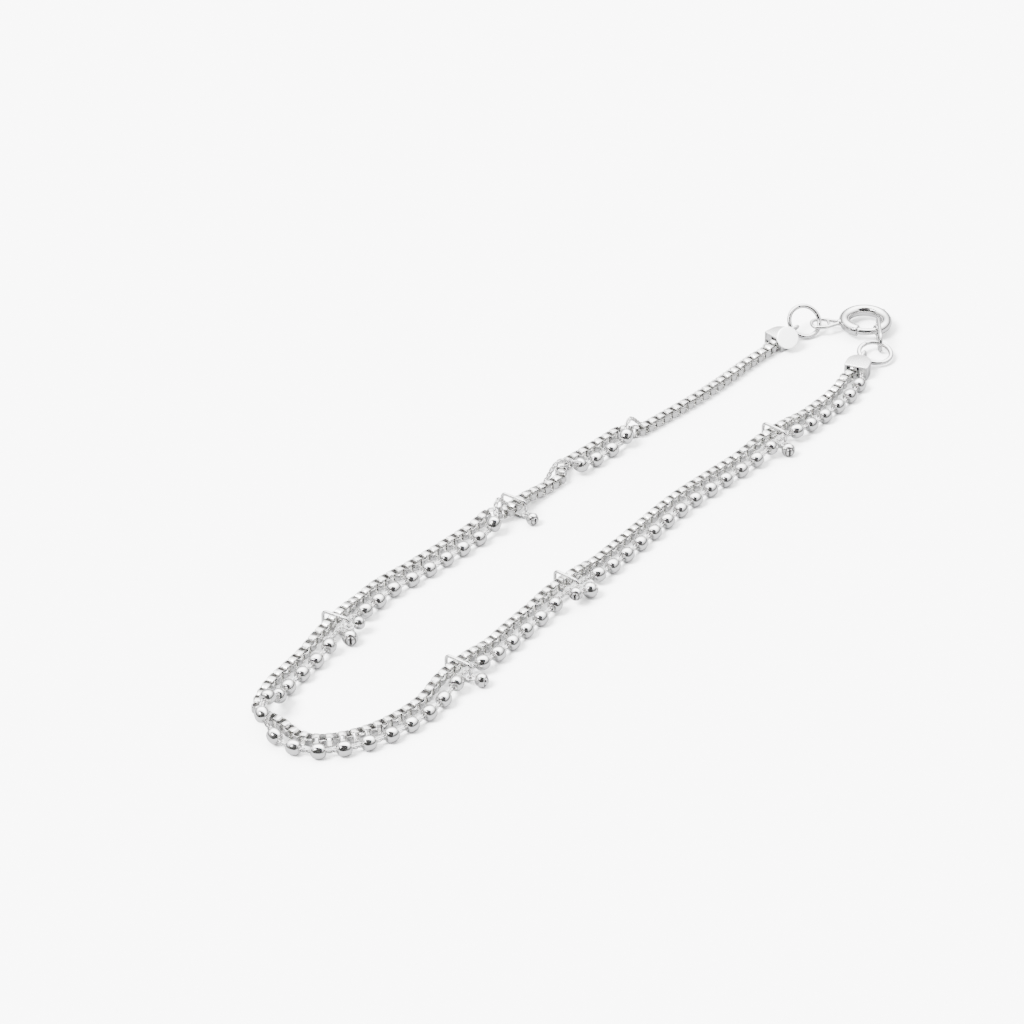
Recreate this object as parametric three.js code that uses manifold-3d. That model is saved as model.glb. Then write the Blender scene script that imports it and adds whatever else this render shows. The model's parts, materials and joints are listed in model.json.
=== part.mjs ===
// Payal anklet: a box chain and a bead chain between two end caps, closed by a spring ring clasp.
// Sizes are in millimetres. X runs along the front strand towards the clasp, Y away from it, Z up.
import * as THREE from "three";
import { mergeVertices } from "three/addons/utils/BufferGeometryUtils.js";
import Module from "manifold-3d";

const wasm = await Module();
wasm.setup();

const UP = new THREE.Vector3(0, 0, 1);
const degrees = THREE.MathUtils.degToRad;
const lerp = THREE.MathUtils.lerp;

// Box chain: square links with a groove where one meets the next
const boxWidth = 1.7;
const linkPeriod = 1.6;
const grooveDepth = 0.24;

// Bead chain: barrel beads on a fine connector
const beadDiameter = 2.0;
const beadLength = 1.9;
const beadBelt = 1.05;
const beadPitch = 3.2;
const connectorDiameter = 0.7;
const lastBeadToCap = 3.0;
const beadSides = 10;

// How the two chains lie beside and over each other
const strandGap = 0.12;
const boxToMiddle = 0.16;
const beadToMiddle = 0.38;
const boxOffset = boxWidth / 2 + boxToMiddle;
const beadOffset = beadDiameter / 2 + beadToMiddle;
const bareOffset = boxWidth / 2 + strandGap + connectorDiameter / 2 - boxOffset;
const crossingGap = 0.7;
const crossingRise = 2.2;
const floorGap = 0.02;
const bareMargin = 0.3;

// The loop as it lies, from the mouth of the disc cap round the far end to the mouth of the flat cap
const route = [
  [110.9, 0.3], [108, 0.8], [104, 1.0], [100, 1.0], [93, 1.3], [81, 2.6], [72, 3.3], [60, 4.3],
  [50, 4.0], [42, 4.4], [36, 4.9], [30, 5.6], [23, 4.8], [16, 3.8], [10, 3.0], [6.5, 2.6],
  [3.4, 1.6], [0.8, 0.2], [-0.3, -1.5], [-0.8, -3.6], [-1.3, -6.0], [-0.5, -9.0], [1.8, -11.3],
  [4.5, -12.9], [8, -14.1], [13.5, -14.7], [20, -14.0], [28, -13.9], [38, -13.3], [50, -13.6],
  [60, -13.3], [70, -12.9], [79, -13.5], [91, -14.5], [101, -15.0], [105, -14.9],
  [108.5, -14.3], [111.4, -13.4],
];

// Where the bead chain steps over the box chain, by distance along the route, and half of each step's length
const crossings = [
  { at: 31.0, reach: 1.6 },
  { at: 44.9, reach: 1.6 },
  { at: 58.6, reach: 1.6 },
  { at: 111.9, reach: 2.5 },
];

// Stretches where the bead chain has no beads, by distance along the route
const bareStretches = [
  { from: -10, to: 33.3 },
  { from: 42.8, to: 60.8 },
];

// Stations: a ring round both chains, its distance along the route and half the length that it keeps bare
const stations = [
  { at: 55.9, bare: 3.2 },
  { at: 91.1, bare: 4.6 },
  { at: 145.2, bare: 3.0 },
  { at: 168.2, bare: 4.6 },
  { at: 213.7, bare: 3.0 },
];
const stationWire = 0.45;
const stationGap = 0.2;
const stationCorner = 0.62;
const stationRise = 3.0;
const stationLevel = 1.8;

// Bells: the station each hangs on, its diameter, the way it points and its lift off the surface
const bells = [
  { station: 0, diameter: 1.75, swing: -20, lift: 0 },
  { station: 1, diameter: 2.1, swing: -54, lift: 0 },
  { station: 1, diameter: 1.8, swing: 62, lift: 0.8 },
  { station: 2, diameter: 1.9, swing: 15, lift: 0 },
  { station: 3, diameter: 1.8, swing: -62, lift: 0.9 },
  { station: 3, diameter: 2.2, swing: 58, lift: 0 },
  { station: 4, diameter: 1.9, swing: -35, lift: 0 },
];
const bellSlit = 0.3;
const bellEye = 1.4;
const bellEyeWire = 0.3;
const bellSides = 10;

// End caps: a folded plate over the chain ends, closed at its round end, with an eye
const capWall = 0.25;
const capGap = 0.15;
const capLength = 3.2;
const capEndWall = 0.9;
const capEye = 1.7;
const capEyeWire = 0.5;
const capEyeSink = 0.35;
const discDiameter = 3.1;
const discThickness = 0.6;
const discLean = [-0.36, -0.7, 0.62];
const discFromMouth = 1.1;
const discRaise = 0.15;
const chainTail = 1.2;

// Jump rings
const jumpRing = 5.15;
const jumpWire = 0.64;
const backRingLean = [-0.373, -0.6, 0.708];
const frontRingLean = [-0.19, -0.15, 0.97];
const hookGap = 0.4;
const hookDrop = 0.2;
const frontHookDrop = 0.1;
const eyeHookGap = 0.55;

// Spring ring clasp
const claspPlace = [123.1, -7.2];
const claspLift = 0.7;
const claspDiameter = 7.5;
const claspTube = 1.6;
const claspFront = 217.7;
const gapHalf = 26;
const boltDiameter = 0.96;
const boltGap = 0.1;
const boltSeat = 5;
const boltEnd = 140;
const boltPastKnob = 4;
const boltTravel = 55;
const knobAt = boltEnd - boltPastKnob;
const knobSize = 0.5;
const knobOut = 0.5;
const slotGap = 0.12;
const eyeLength = 4.25;
const eyeWidth = 2.7;
const eyeWire = 0.5;
const eyeDirection = 134.4;

// Outline of the clasp's eye: shares of its length, and of half its width there
const eyeShape = [[0, 0.12], [0.25, 0.45], [0.5, 0.85], [0.72, 1], [0.92, 0.78]];

// How far the cuts in the clasp run past the bolt at each end, and past the tube, in degrees
const boreRoom = 4;
const seatRoom = 2;
const cutOverrun = 1;

// Oval link between the clasp and the front jump ring
const linkWire = 0.5;
const linkGap = 0.18;
const linkLength = 6.7;
const linkSlack = 0.6;
const linkAt = 35;

// Facets round each section and steps along each bend
const wireSides = 6;
const fineWireSides = 5;
const bellEyeSides = 8;
const bellBands = 6;
const capEyeSides = 12;
const capEndSteps = 6;
const discSides = 20;
const jumpRingSides = 16;
const tubeSides = 10;
const tubeSteps = 20;
const boltSides = 8;
const boltSteps = 12;
const slotSteps = 5;
const stationCornerSteps = 2;
const linkCornerSteps = 3;
const flatUp = 0.5;

const silver = { colour: 0xe4e4e2, roughness: 0.16 };
const brightSilver = { colour: 0xf2f2f0, roughness: 0.1 };

const point = (x, y, z) => new THREE.Vector3(x, y, z);
const direction = (angle) => point(Math.cos(degrees(angle)), Math.sin(degrees(angle)), 0);
const smooth = (t) => THREE.MathUtils.smoothstep(t, 0, 1);

// A closed solid skinned over rings of points: with two end faces, or joined end to end
function skin(rings, joined = false) {
  const count = rings[0].length;
  const positions = rings.flat().flatMap((p) => [p.x, p.y, p.z]);
  const index = [];
  const bands = joined ? rings.length : rings.length - 1;
  for (let i = 0; i < bands; i++) {
    const near = i * count;
    const far = ((i + 1) % rings.length) * count;
    for (let j = 0; j < count; j++) {
      const next = (j + 1) % count;
      index.push(near + j, near + next, far + next, near + j, far + next, far + j);
    }
  }
  if (!joined) {
    const last = (rings.length - 1) * count;
    for (let j = 1; j < count - 1; j++) {
      index.push(0, j + 1, j, last, last + j, last + j + 1);
    }
  }
  const geometry = new THREE.BufferGeometry();
  geometry.setAttribute("position", new THREE.Float32BufferAttribute(positions, 3));
  geometry.setIndex(index);
  return geometry;
}

// Points of a section across a path, counter-clockwise seen from ahead
function section(centre, left, up, outline) {
  return outline.map(([a, b]) => centre.clone().addScaledVector(left, a).addScaledVector(up, b));
}

function circle(radius, sides, turn = 0) {
  return Array.from({ length: sides }, (_, i) => {
    const angle = (2 * Math.PI * (i + turn)) / sides;
    return [radius * Math.cos(angle), radius * Math.sin(angle)];
  });
}

function rectangle(halfWidth, halfHeight) {
  return [
    [-halfWidth, -halfHeight],
    [halfWidth, -halfHeight],
    [halfWidth, halfHeight],
    [-halfWidth, halfHeight],
  ];
}

// A wire bent round a closed outline in its own XY plane
function wireLoop(outline, wire, sides) {
  const points = outline.map(([x, y]) => point(x, y, 0));
  const rings = points.map((p, i) => {
    const before = points[(i + points.length - 1) % points.length];
    const after = points[(i + 1) % points.length];
    const along = after.clone().sub(before).normalize();
    const out = new THREE.Vector3().crossVectors(along, UP);
    return section(p, out, UP.clone().negate(), circle(wire / 2, sides));
  });
  return skin(rings, true);
}

// Outline of a rectangle with round corners, counter-clockwise
function roundedOutline(halfWidth, halfHeight, corner, steps) {
  const outline = [];
  for (const [sx, sy, start] of [[1, 1, 0], [-1, 1, 90], [-1, -1, 180], [1, -1, 270]]) {
    for (let i = 0; i <= steps; i++) {
      const turn = direction(start + (90 * i) / steps);
      const x = sx * (halfWidth - corner) + corner * turn.x;
      const y = sy * (halfHeight - corner) + corner * turn.y;
      outline.push([x, y]);
    }
  }
  return outline;
}

// A bent bar round the Z axis between two angles, its section given as [outwards, upwards] from the arc
function arcBar(radius, from, to, outline, steps) {
  const rings = [];
  for (let i = 0; i <= steps; i++) {
    const out = direction(lerp(from, to, i / steps));
    rings.push(section(out.clone().multiplyScalar(radius), out, UP.clone().negate(), outline));
  }
  return skin(rings);
}

function solidOf(geometry, matrix = new THREE.Matrix4()) {
  const bare = geometry.clone().applyMatrix4(matrix);
  bare.deleteAttribute("normal");
  bare.deleteAttribute("uv");
  const merged = mergeVertices(bare, 1e-4);
  return new wasm.Manifold(new wasm.Mesh({
    numProp: 3,
    vertProperties: new Float32Array(merged.attributes.position.array),
    triVerts: new Uint32Array(merged.index.array),
  }));
}

function geometryOf(solid) {
  const mesh = solid.getMesh();
  const geometry = new THREE.BufferGeometry();
  geometry.setAttribute("position", new THREE.BufferAttribute(mesh.vertProperties, 3));
  geometry.setIndex(new THREE.BufferAttribute(mesh.triVerts, 1));
  return geometry;
}

// Places a piece whose own X and Y point along two given directions
function basis(origin, x, y) {
  const z = new THREE.Vector3().crossVectors(x, y).normalize();
  const trueY = new THREE.Vector3().crossVectors(z, x).normalize();
  return new THREE.Matrix4().makeBasis(x.clone().normalize(), trueY, z).setPosition(origin);
}

const anklet = new THREE.Group();

function addPiece(name, geometry, matrix, finish) {
  const mesh = new THREE.Mesh(
    geometry,
    new THREE.MeshStandardMaterial({ color: finish.colour, roughness: finish.roughness, metalness: 1 }),
  );
  mesh.name = name;
  mesh.applyMatrix4(matrix);
  anklet.add(mesh);
}

// The shared middle line of the two chains, with a straight tail into each cap
const routeCurve = new THREE.CatmullRomCurve3(route.map(([x, y]) => point(x, y, 0)), false, "centripetal");
const routeSamples = 2000;
routeCurve.arcLengthDivisions = routeSamples;
const routeLength = routeCurve.getLength();

function routeFrame(distance) {
  const inside = THREE.MathUtils.clamp(distance, 0, routeLength);
  const place = routeCurve.getPointAt(inside / routeLength);
  const along = routeCurve.getTangentAt(inside / routeLength);
  place.addScaledVector(along, distance - inside);
  return { place, along, left: new THREE.Vector3().crossVectors(UP, along) };
}

// Which side of the middle the bead chain runs on: 1 left, -1 right, passing over at each crossing
function beadSide(distance) {
  return crossings.reduce((side, crossing) => {
    const share = THREE.MathUtils.clamp((distance - crossing.at) / crossing.reach, -1, 1);
    return -side * Math.sin((Math.PI / 2) * share);
  }, -1);
}

function riseOver(distance) {
  return crossings.reduce((rise, crossing) => {
    const share = THREE.MathUtils.clamp((distance - crossing.at) / (crossingRise * crossing.reach), -1, 1);
    return rise + (boxWidth + crossingGap) * Math.cos((Math.PI / 2) * share) ** 2;
  }, 0);
}

// Both chains ride up over the wire that passes under them at each station
function stationLift(distance) {
  const height = stationWire + stationGap + floorGap;
  const lifts = stations.map((station) => {
    const away = Math.abs(distance - station.at) - stationLevel;
    return height * (1 - smooth(away / (2 * stationRise)));
  });
  return Math.max(...lifts);
}

// How far a distance along the route lies inside the nearest stretch that is kept bare
function bareDepth(distance) {
  const ends = [...bareStretches, ...stations.map(({ at, bare }) => ({ from: at - bare, to: at + bare }))];
  return Math.max(...ends.map(({ from, to }) => Math.min(distance - from, to - distance)));
}

// Between the last bead and the cap the two strands close up to fit the cap's mouth
const capStrandGap = 0.2;
const capInnerWidth = boxWidth + capStrandGap + connectorDiameter;
const boxOffsetInCap = (capInnerWidth - boxWidth) / 2;
const beadOffsetInCap = (capInnerWidth - connectorDiameter) / 2;

function pairAt(distance) {
  const frame = routeFrame(distance);
  const toMouth = Math.min(distance, routeLength - distance);
  const closing = 1 - smooth(toMouth / (lastBeadToCap - beadLength / 2));
  const side = beadSide(distance);
  const lift = stationLift(distance);
  const bare = smooth(bareDepth(distance) / (beadPitch / 2));
  const box = frame.place.clone();
  box.addScaledVector(frame.left, -side * lerp(boxOffset, boxOffsetInCap, closing));
  box.z = boxWidth / 2 + lift;
  const bead = frame.place.clone();
  bead.addScaledVector(frame.left, side * lerp(lerp(beadOffset, bareOffset, bare), beadOffsetInCap, closing));
  bead.z = lerp(beadDiameter, connectorDiameter, bare) / 2 + floorGap + lift + riseOver(distance);
  return { ...frame, side, box, bead };
}

// A smooth curve through one of the two chains, with its tails, sampled evenly along the route
const strandSamples = 600;
const strandSpan = routeLength + 2 * chainTail;

function strandCurve(name) {
  const points = [];
  for (let i = 0; i <= strandSamples; i++) {
    points.push(pairAt(-chainTail + (strandSpan * i) / strandSamples)[name]);
  }
  const curve = new THREE.CatmullRomCurve3(points, false, "centripetal");
  curve.arcLengthDivisions = 4 * strandSamples;
  return curve;
}

function ringAt(curve, length, distance, outline) {
  const share = THREE.MathUtils.clamp(distance / length, 0, 1);
  const along = curve.getTangentAt(share);
  const left = new THREE.Vector3().crossVectors(UP, along).normalize();
  const up = new THREE.Vector3().crossVectors(along, left);
  return section(curve.getPointAt(share), left, up, outline);
}

// Box chain: full links, grooved in turn on top and bottom, then on both sides
function boxChain() {
  const curve = strandCurve("box");
  const length = curve.getLength();
  const quarters = 4 * Math.round(length / linkPeriod);
  const half = boxWidth / 2;
  const shapes = [
    rectangle(half, half),
    rectangle(half, half - grooveDepth),
    rectangle(half, half),
    rectangle(half - grooveDepth, half),
  ];
  const rings = [];
  for (let i = 0; i <= quarters; i++) {
    rings.push(ringAt(curve, length, (length * i) / quarters, shapes[i % 4]));
  }
  return skin(rings);
}

// Bead chain: coned ends and a full belt on each bead, on the connector that runs between them
function beadChain() {
  const curve = strandCurve("bead");
  const length = curve.getLength();
  const first = chainTail + lastBeadToCap;
  const steps = Math.round((length - 2 * first) / beadPitch);
  const connector = circle(connectorDiameter / 2, beadSides);
  const belt = circle(beadDiameter / 2, beadSides);
  const rings = [0, chainTail].map((along) => ringAt(curve, length, along, connector));
  for (let i = 0; i <= steps; i++) {
    const centre = lerp(first, length - first, i / steps);
    const distance = -chainTail + strandSpan * curve.getUtoTmapping(centre / length);
    const middle = bareDepth(distance) > bareMargin ? connector : belt;
    rings.push(ringAt(curve, length, centre - beadLength / 2, connector));
    rings.push(ringAt(curve, length, centre - beadBelt / 2, middle));
    rings.push(ringAt(curve, length, centre + beadBelt / 2, middle));
    rings.push(ringAt(curve, length, centre + beadLength / 2, connector));
  }
  rings.push(ringAt(curve, length, length - chainTail, connector), ringAt(curve, length, length, connector));
  return skin(rings);
}

// A station's ring: round the box chain and the bare bead chain, in the plane across them
function stationPlace(station) {
  const at = pairAt(station.at);
  const beadWay = at.left.clone().multiplyScalar(Math.sign(at.side));
  const spread = at.bead.clone().sub(at.box).dot(beadWay);
  const bellRoom = (bellEye + stationWire) / 2;
  const clear = stationGap + stationWire / 2;
  const [boxRoom, beadRoom] = beadWay.y > 0 ? [bellRoom, clear] : [clear, bellRoom];
  const boxEdge = -boxWidth / 2 - boxRoom;
  const beadEdge = Math.max(spread + connectorDiameter / 2 + beadRoom, boxWidth / 2 + clear);
  const top = Math.max(at.box.z + boxWidth / 2, at.bead.z + connectorDiameter / 2) + clear;
  const bottom = stationWire / 2 + floorGap / 2;
  const centre = at.box.clone().addScaledVector(beadWay, (boxEdge + beadEdge) / 2);
  centre.z = (top + bottom) / 2;
  return { centre, beadWay, halfWidth: (beadEdge - boxEdge) / 2, halfHeight: (top - bottom) / 2 };
}

function addStation(place, number) {
  const outline = roundedOutline(place.halfWidth, place.halfHeight, stationCorner, stationCornerSteps);
  const geometry = wireLoop(outline, stationWire, fineWireSides);
  addPiece(`station_ring_${number}`, geometry, basis(place.centre, place.beadWay, UP), silver);
}

// A slit bell: its eye in its own XY plane at the origin, its body towards X
function bell(diameter) {
  const radius = diameter / 2;
  const bodyAt = bellEye / 2 + radius - bellEyeWire / 2;
  const profile = [];
  for (let i = 0; i <= bellBands; i++) {
    const angle = (Math.PI * i) / bellBands;
    profile.push(new THREE.Vector2(i % bellBands ? radius * Math.sin(angle) : 0, -radius * Math.cos(angle)));
  }
  const onSide = new THREE.Matrix4().makeRotationZ(-Math.PI / 2).setPosition(bodyAt, 0, 0);
  const body = solidOf(new THREE.LatheGeometry(profile, bellSides), onSide);
  const eyeRound = circle((bellEye - bellEyeWire) / 2, bellEyeSides);
  const eye = solidOf(wireLoop(eyeRound, bellEyeWire, fineWireSides));
  const cutter = new THREE.BoxGeometry(radius, bellSlit, 2 * diameter);
  const slit = solidOf(cutter, new THREE.Matrix4().makeTranslation(bodyAt + radius, 0, 0));
  return geometryOf(body.subtract(slit).add(eye));
}

function addBell(row, number, places) {
  const place = places[row.station];
  const nearWay = place.beadWay.y < 0 ? place.beadWay : place.beadWay.clone().negate();
  const hook = place.centre.clone().addScaledVector(nearWay, place.halfWidth);
  hook.z = row.diameter / 2 + row.lift + floorGap / 2;
  const way = nearWay.clone().applyAxisAngle(UP, degrees(row.swing));
  const across = new THREE.Vector3().crossVectors(UP, way);
  addPiece(`bell_${number}`, bell(row.diameter), basis(hook, way, across), silver);
}

// An end cap in its own frame: mouth at the origin, round end towards X, resting on Z = 0
const capWidth = capInnerWidth + 2 * (capGap + capWall);
const capHeight = boxWidth + capGap + capWall;
const capReach = capLength + capEye / 2 - capEyeSink + capEyeWire / 2;

// The room for the chain ends, open at the mouth and below
function capInside() {
  const insideLength = capLength - capEndWall;
  const insideHeight = capHeight - capWall;
  return solidOf(new THREE.BoxGeometry(2 * insideLength, capWidth - 2 * capWall, 2 * insideHeight));
}

function capBody(eyeHeight, eyeRoll) {
  const radius = capWidth / 2;
  const outline = new THREE.Shape();
  outline.moveTo(0, -radius);
  outline.lineTo(capLength - radius, -radius);
  outline.absarc(capLength - radius, 0, radius, -Math.PI / 2, Math.PI / 2, false);
  outline.lineTo(0, radius);
  const settings = { depth: capHeight, bevelEnabled: false, curveSegments: capEndSteps };
  const block = solidOf(new THREE.ExtrudeGeometry(outline, settings));
  const folded = block.subtract(capInside());
  const upright = new THREE.Matrix4()
    .makeRotationX(degrees(eyeRoll) - Math.PI / 2)
    .setPosition(capReach, 0, eyeHeight);
  return folded.add(solidOf(wireLoop(circle(capEye / 2, capEyeSides), capEyeWire, wireSides), upright));
}

// The disc faces up and towards the front, on the near top edge of its cap
function discCap(eyeHeight, eyeRoll) {
  const lean = point(...discLean).normalize();
  const place = point(discFromMouth, -capWidth / 2, capHeight).addScaledVector(lean, discRaise);
  const turn = new THREE.Quaternion().setFromUnitVectors(point(0, 1, 0), lean);
  const matrix = new THREE.Matrix4().makeRotationFromQuaternion(turn).setPosition(place);
  const plate = new THREE.CylinderGeometry(discDiameter / 2, discDiameter / 2, discThickness, discSides);
  return capBody(eyeHeight, eyeRoll).add(solidOf(plate, matrix).subtract(capInside()));
}

function capFrame(mouthDistance, outwards) {
  const frame = routeFrame(mouthDistance);
  const along = frame.along.clone().multiplyScalar(outwards);
  return basis(frame.place, along, new THREE.Vector3().crossVectors(UP, along));
}

// A round jump ring through two hooks, in the plane that holds both and leans the given way
function ringThrough(from, to, radius, lean) {
  const chord = to.clone().sub(from);
  const rise = new THREE.Vector3().crossVectors(lean, chord).normalize();
  const height = Math.sqrt(Math.max(radius ** 2 - chord.lengthSq() / 4, 0));
  const centre = from.clone().add(to).multiplyScalar(0.5).addScaledVector(rise, height);
  return basis(centre, chord, rise);
}

function jumpRingGeometry() {
  return wireLoop(circle(jumpRingRadius, jumpRingSides), jumpWire, wireSides);
}

// The clasp's hollow tube with its gap, the bolt's way and the knob's slot, and its soldered eye
function springRing() {
  const tube = claspTube / 2;
  const boreSection = circle(boltDiameter / 2 + boltGap, boltSides, flatUp);
  const ring = solidOf(arcBar(claspRadius, gapHalf, 360 - gapHalf, circle(tube, tubeSides), tubeSteps));
  const boreEnd = boltEnd + boltTravel + boreRoom;
  const bore = solidOf(arcBar(claspRadius, gapHalf - cutOverrun, boreEnd, boreSection, boltSteps));
  const seatEnd = -gapHalf - boltSeat - seatRoom;
  const seat = solidOf(arcBar(claspRadius, seatEnd, -gapHalf + cutOverrun, boreSection, 1));
  const slotHalf = knobSize / 2 + slotGap;
  const slotAngle = THREE.MathUtils.radToDeg(slotHalf / claspRadius);
  const slotSection = rectangle(tube, slotHalf).map(([a, b]) => [a + tube, b]);
  const slotEnd = knobAt + boltTravel + slotAngle;
  const slot = solidOf(arcBar(claspRadius, knobAt - slotAngle, slotEnd, slotSection, slotSteps));
  const turned = new THREE.Matrix4().makeRotationZ(degrees(eyeAngle));
  const eye = solidOf(wireLoop(eyeOutline(), eyeWire, wireSides), turned);
  return geometryOf(ring.subtract(bore).subtract(seat).subtract(slot).add(eye.subtract(bore)));
}

// A drop-shaped loop, narrow where it is soldered to the ring and wide at its far end
function eyeOutline() {
  const start = claspRadius + claspTube / 2 - eyeWire / 2;
  const end = start + eyeLength;
  const half = (eyeWidth - eyeWire) / 2;
  const side = eyeShape.map(([along, width]) => [lerp(start, end, along), -half * width]);
  return [...side, [end, 0], ...side.map(([x, y]) => [x, -y]).reverse()];
}

// The sliding bolt, rounded by its facets, with its thumb knob through the slot
function springBolt() {
  const barSection = circle(boltDiameter / 2, boltSides, flatUp);
  const bar = solidOf(arcBar(claspRadius, -gapHalf - boltSeat, boltEnd, barSection, boltSteps));
  const length = claspTube / 2 + knobOut;
  const knob = new THREE.BoxGeometry(length, knobSize, knobSize);
  const turned = new THREE.Matrix4()
    .makeRotationZ(degrees(knobAt))
    .multiply(new THREE.Matrix4().makeTranslation(claspRadius + length / 2, 0, 0));
  return geometryOf(bar.add(solidOf(knob, turned)));
}

const claspRadius = (claspDiameter - claspTube) / 2;
const jumpRingRadius = (jumpRing - jumpWire) / 2;
const claspCentre = point(...claspPlace, claspLift + claspTube / 2);
const eyeAngle = eyeDirection - claspFront;

addPiece("box_chain", boxChain(), new THREE.Matrix4(), silver);
addPiece("bead_chain", beadChain(), new THREE.Matrix4(), brightSilver);

const stationPlaces = stations.map(stationPlace);
stationPlaces.forEach((place, i) => addStation(place, i + 1));
bells.forEach((row, i) => addBell(row, i + 1, stationPlaces));

// Disc cap and its jump ring, which hooks the clasp's eye
const backEyeHeight = 1.5;
const backEyeRoll = 40;
const backFrame = capFrame(0, -1);
addPiece("end_cap_disc", geometryOf(discCap(backEyeHeight, backEyeRoll)), backFrame, brightSilver);
const backHook = point(capReach, 0, backEyeHeight).applyMatrix4(backFrame);
const eyeHoleEnd = claspRadius + claspTube / 2 - eyeWire / 2 + eyeLength - eyeWire / 2;
const eyeHook = claspCentre.clone()
  .addScaledVector(direction(eyeDirection), eyeHoleEnd - jumpWire / 2 - eyeHookGap);
const backRing = ringThrough(backHook, eyeHook, jumpRingRadius, point(...backRingLean));
addPiece("jump_ring_back", jumpRingGeometry(), backRing, silver);

// Clasp
const claspFrame = basis(claspCentre, direction(claspFront), direction(claspFront + 90));
addPiece("spring_ring", springRing(), claspFrame, brightSilver);
addPiece("clasp_bolt", springBolt(), claspFrame, silver);

// Flat cap and its jump ring, which lies nearly flat
const frontEyeHeight = capEye / 2 + capEyeWire / 2 + floorGap;
const frontFrame = capFrame(routeLength, 1);
addPiece("end_cap_flat", geometryOf(capBody(frontEyeHeight, 0)), frontFrame, silver);
const frontHook = point(capReach, 0, frontEyeHeight - frontHookDrop).applyMatrix4(frontFrame);

// Oval link round the clasp's tube, pointing to the front, with the front jump ring in its other end
const linkWay = direction(claspFront);
const linkRound = claspTube / 2 + linkGap + linkWire / 2;
const linkStraight = linkLength - 2 * linkRound - linkWire;
const tubeHook = claspCentre.clone().addScaledVector(direction(claspFront + linkAt), claspRadius);
const linkCentre = tubeHook.clone().addScaledVector(linkWay, linkStraight / 2 - linkSlack);
const ringHook = linkCentre.clone()
  .addScaledVector(linkWay, linkStraight / 2 + linkRound - (linkWire + jumpWire) / 2 - hookGap)
  .setZ(claspCentre.z - hookDrop);
const frontRing = ringThrough(ringHook, frontHook, jumpRingRadius, point(...frontRingLean));
addPiece("jump_ring_front", jumpRingGeometry(), frontRing, silver);
const linkOutline = roundedOutline(linkStraight / 2 + linkRound, linkRound, linkRound, linkCornerSteps);
const linkGeometry = wireLoop(linkOutline, linkWire, wireSides);
addPiece("clasp_link", linkGeometry, basis(linkCentre, linkWay, UP), silver);

// The origin is under the middle of the anklet as it lies
anklet.updateMatrixWorld(true);
const bounds = new THREE.Box3().setFromObject(anklet, true);
const middle = bounds.getCenter(new THREE.Vector3());
anklet.position.set(-middle.x, -middle.y, -bounds.min.z);

export default anklet;
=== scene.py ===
"""The payal anklet's looks: box and bead chains, slit bells and a spring ring clasp in polished silver."""
import json
import math
import random

import bpy
import numpy as np
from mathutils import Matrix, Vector


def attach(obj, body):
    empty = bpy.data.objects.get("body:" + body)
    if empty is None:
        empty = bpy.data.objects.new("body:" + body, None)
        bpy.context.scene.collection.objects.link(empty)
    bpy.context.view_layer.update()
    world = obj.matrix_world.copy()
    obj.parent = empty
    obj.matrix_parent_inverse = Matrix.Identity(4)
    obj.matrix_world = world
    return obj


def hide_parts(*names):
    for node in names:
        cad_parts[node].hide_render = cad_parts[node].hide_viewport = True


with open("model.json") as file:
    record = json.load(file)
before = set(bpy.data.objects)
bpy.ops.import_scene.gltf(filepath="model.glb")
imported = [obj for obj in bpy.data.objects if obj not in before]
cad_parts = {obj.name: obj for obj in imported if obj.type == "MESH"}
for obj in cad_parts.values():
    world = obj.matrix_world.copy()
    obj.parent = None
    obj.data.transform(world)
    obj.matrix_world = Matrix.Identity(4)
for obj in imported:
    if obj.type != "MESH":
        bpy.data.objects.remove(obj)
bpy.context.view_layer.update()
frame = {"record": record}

# Sizes are in millimetres until a mesh is made, and angles are in degrees
MM = 0.001
UP = np.array([0.0, 0.0, 1.0])

# Box chain
BOX_WIDTH = 1.7
LINK_PITCH = 0.8
LINK_PLATE = 0.18
LINK_STRIP = 0.98
LINK_LENGTH = 1.16
LINK_INSET = 0.04
LINK_CORNER = 0.42
LINK_BURR = 0.05
LINK_EDGE = 0.08
LINK_CROWN = 0.02
LINK_CROWN_IN = 0.1

# Each link rolls by up to its play, and nods and turns by this share of it
LINK_PLAY = 4.0
LINK_SWAY = 0.6
LINK_SEED = 3

# Bead chain
BEAD_DIAMETER = 2.0
BEAD_LENGTH = 1.9
BEAD_PITCH = 3.2
BEAD_HOLE_RADIUS = 0.34
BEAD_HOLE_FLOOR = 0.6
BEAD_DIMPLE = 0.12
BEAD_LIP = 0.02
BEAD_RIM = 0.12
BEAD_FULLNESS = 0.985
BEAD_ARC = 80
BEAD_ARC_STEPS = 16
BEAD_SEAT = 0.9
BEAD_SPIN = 0.5
BEAD_SEED = 7
CONNECTOR_DIAMETER = 0.7
CONNECTOR_LENGTH = 1.08
CONNECTOR_WIRE = 0.2
CONNECTOR_PITCH = 0.4
CONNECTOR_IN_BEAD = 0.3
CONNECTOR_END = 0.15
CONNECTOR_LEAN = 45
LAST_BEAD_TO_CAP = 3.0

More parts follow.
